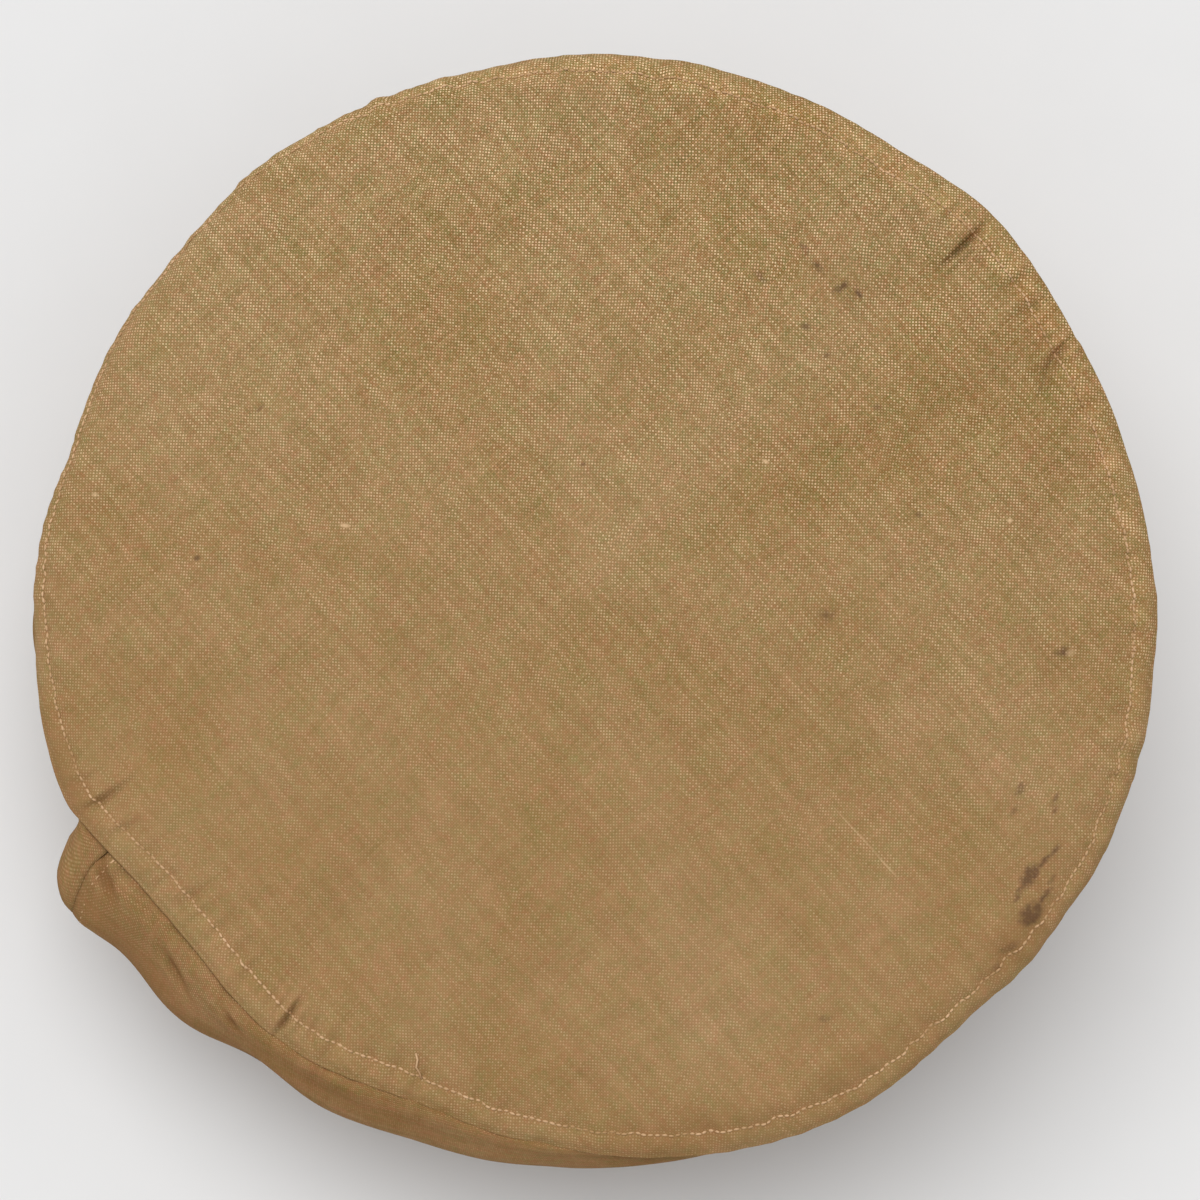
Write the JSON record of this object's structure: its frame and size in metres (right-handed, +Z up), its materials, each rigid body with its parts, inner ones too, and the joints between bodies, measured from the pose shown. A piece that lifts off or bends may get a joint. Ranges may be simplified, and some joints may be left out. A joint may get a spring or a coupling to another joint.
{
  "type": "peaked cap",
  "caption": "Soft cloth peaked cap with a flat round crown, side quarters, an oval head band and a short cloth covered peak, lying on a surface.",
  "frame": {"origin": "under the middle of the cap's bounding box, on the surface that it lies on", "axes": "+Z up, -Y towards the peak, +X towards the wearer's left"},
  "size_m": [0.2744, 0.2888, 0.103],
  "materials": {
    "crown_cloth": "matt plain woven khaki cotton",
    "quarter_cloth": "matt plain woven khaki cotton, a little browner and more worn",
    "band_cloth": "matt plain woven khaki cotton, double",
    "peak_cloth": "matt plain woven khaki cotton over a thin stiffening"
  },
  "bodies": {
    "root": {"crown_top": "crown_cloth", "quarter_back_left": "quarter_cloth", "quarter_back_right": "quarter_cloth", "quarter_front_right": "quarter_cloth", "quarter_front_left": "quarter_cloth", "band": "band_cloth", "peak": "peak_cloth"}
  },
  "joints": []
}
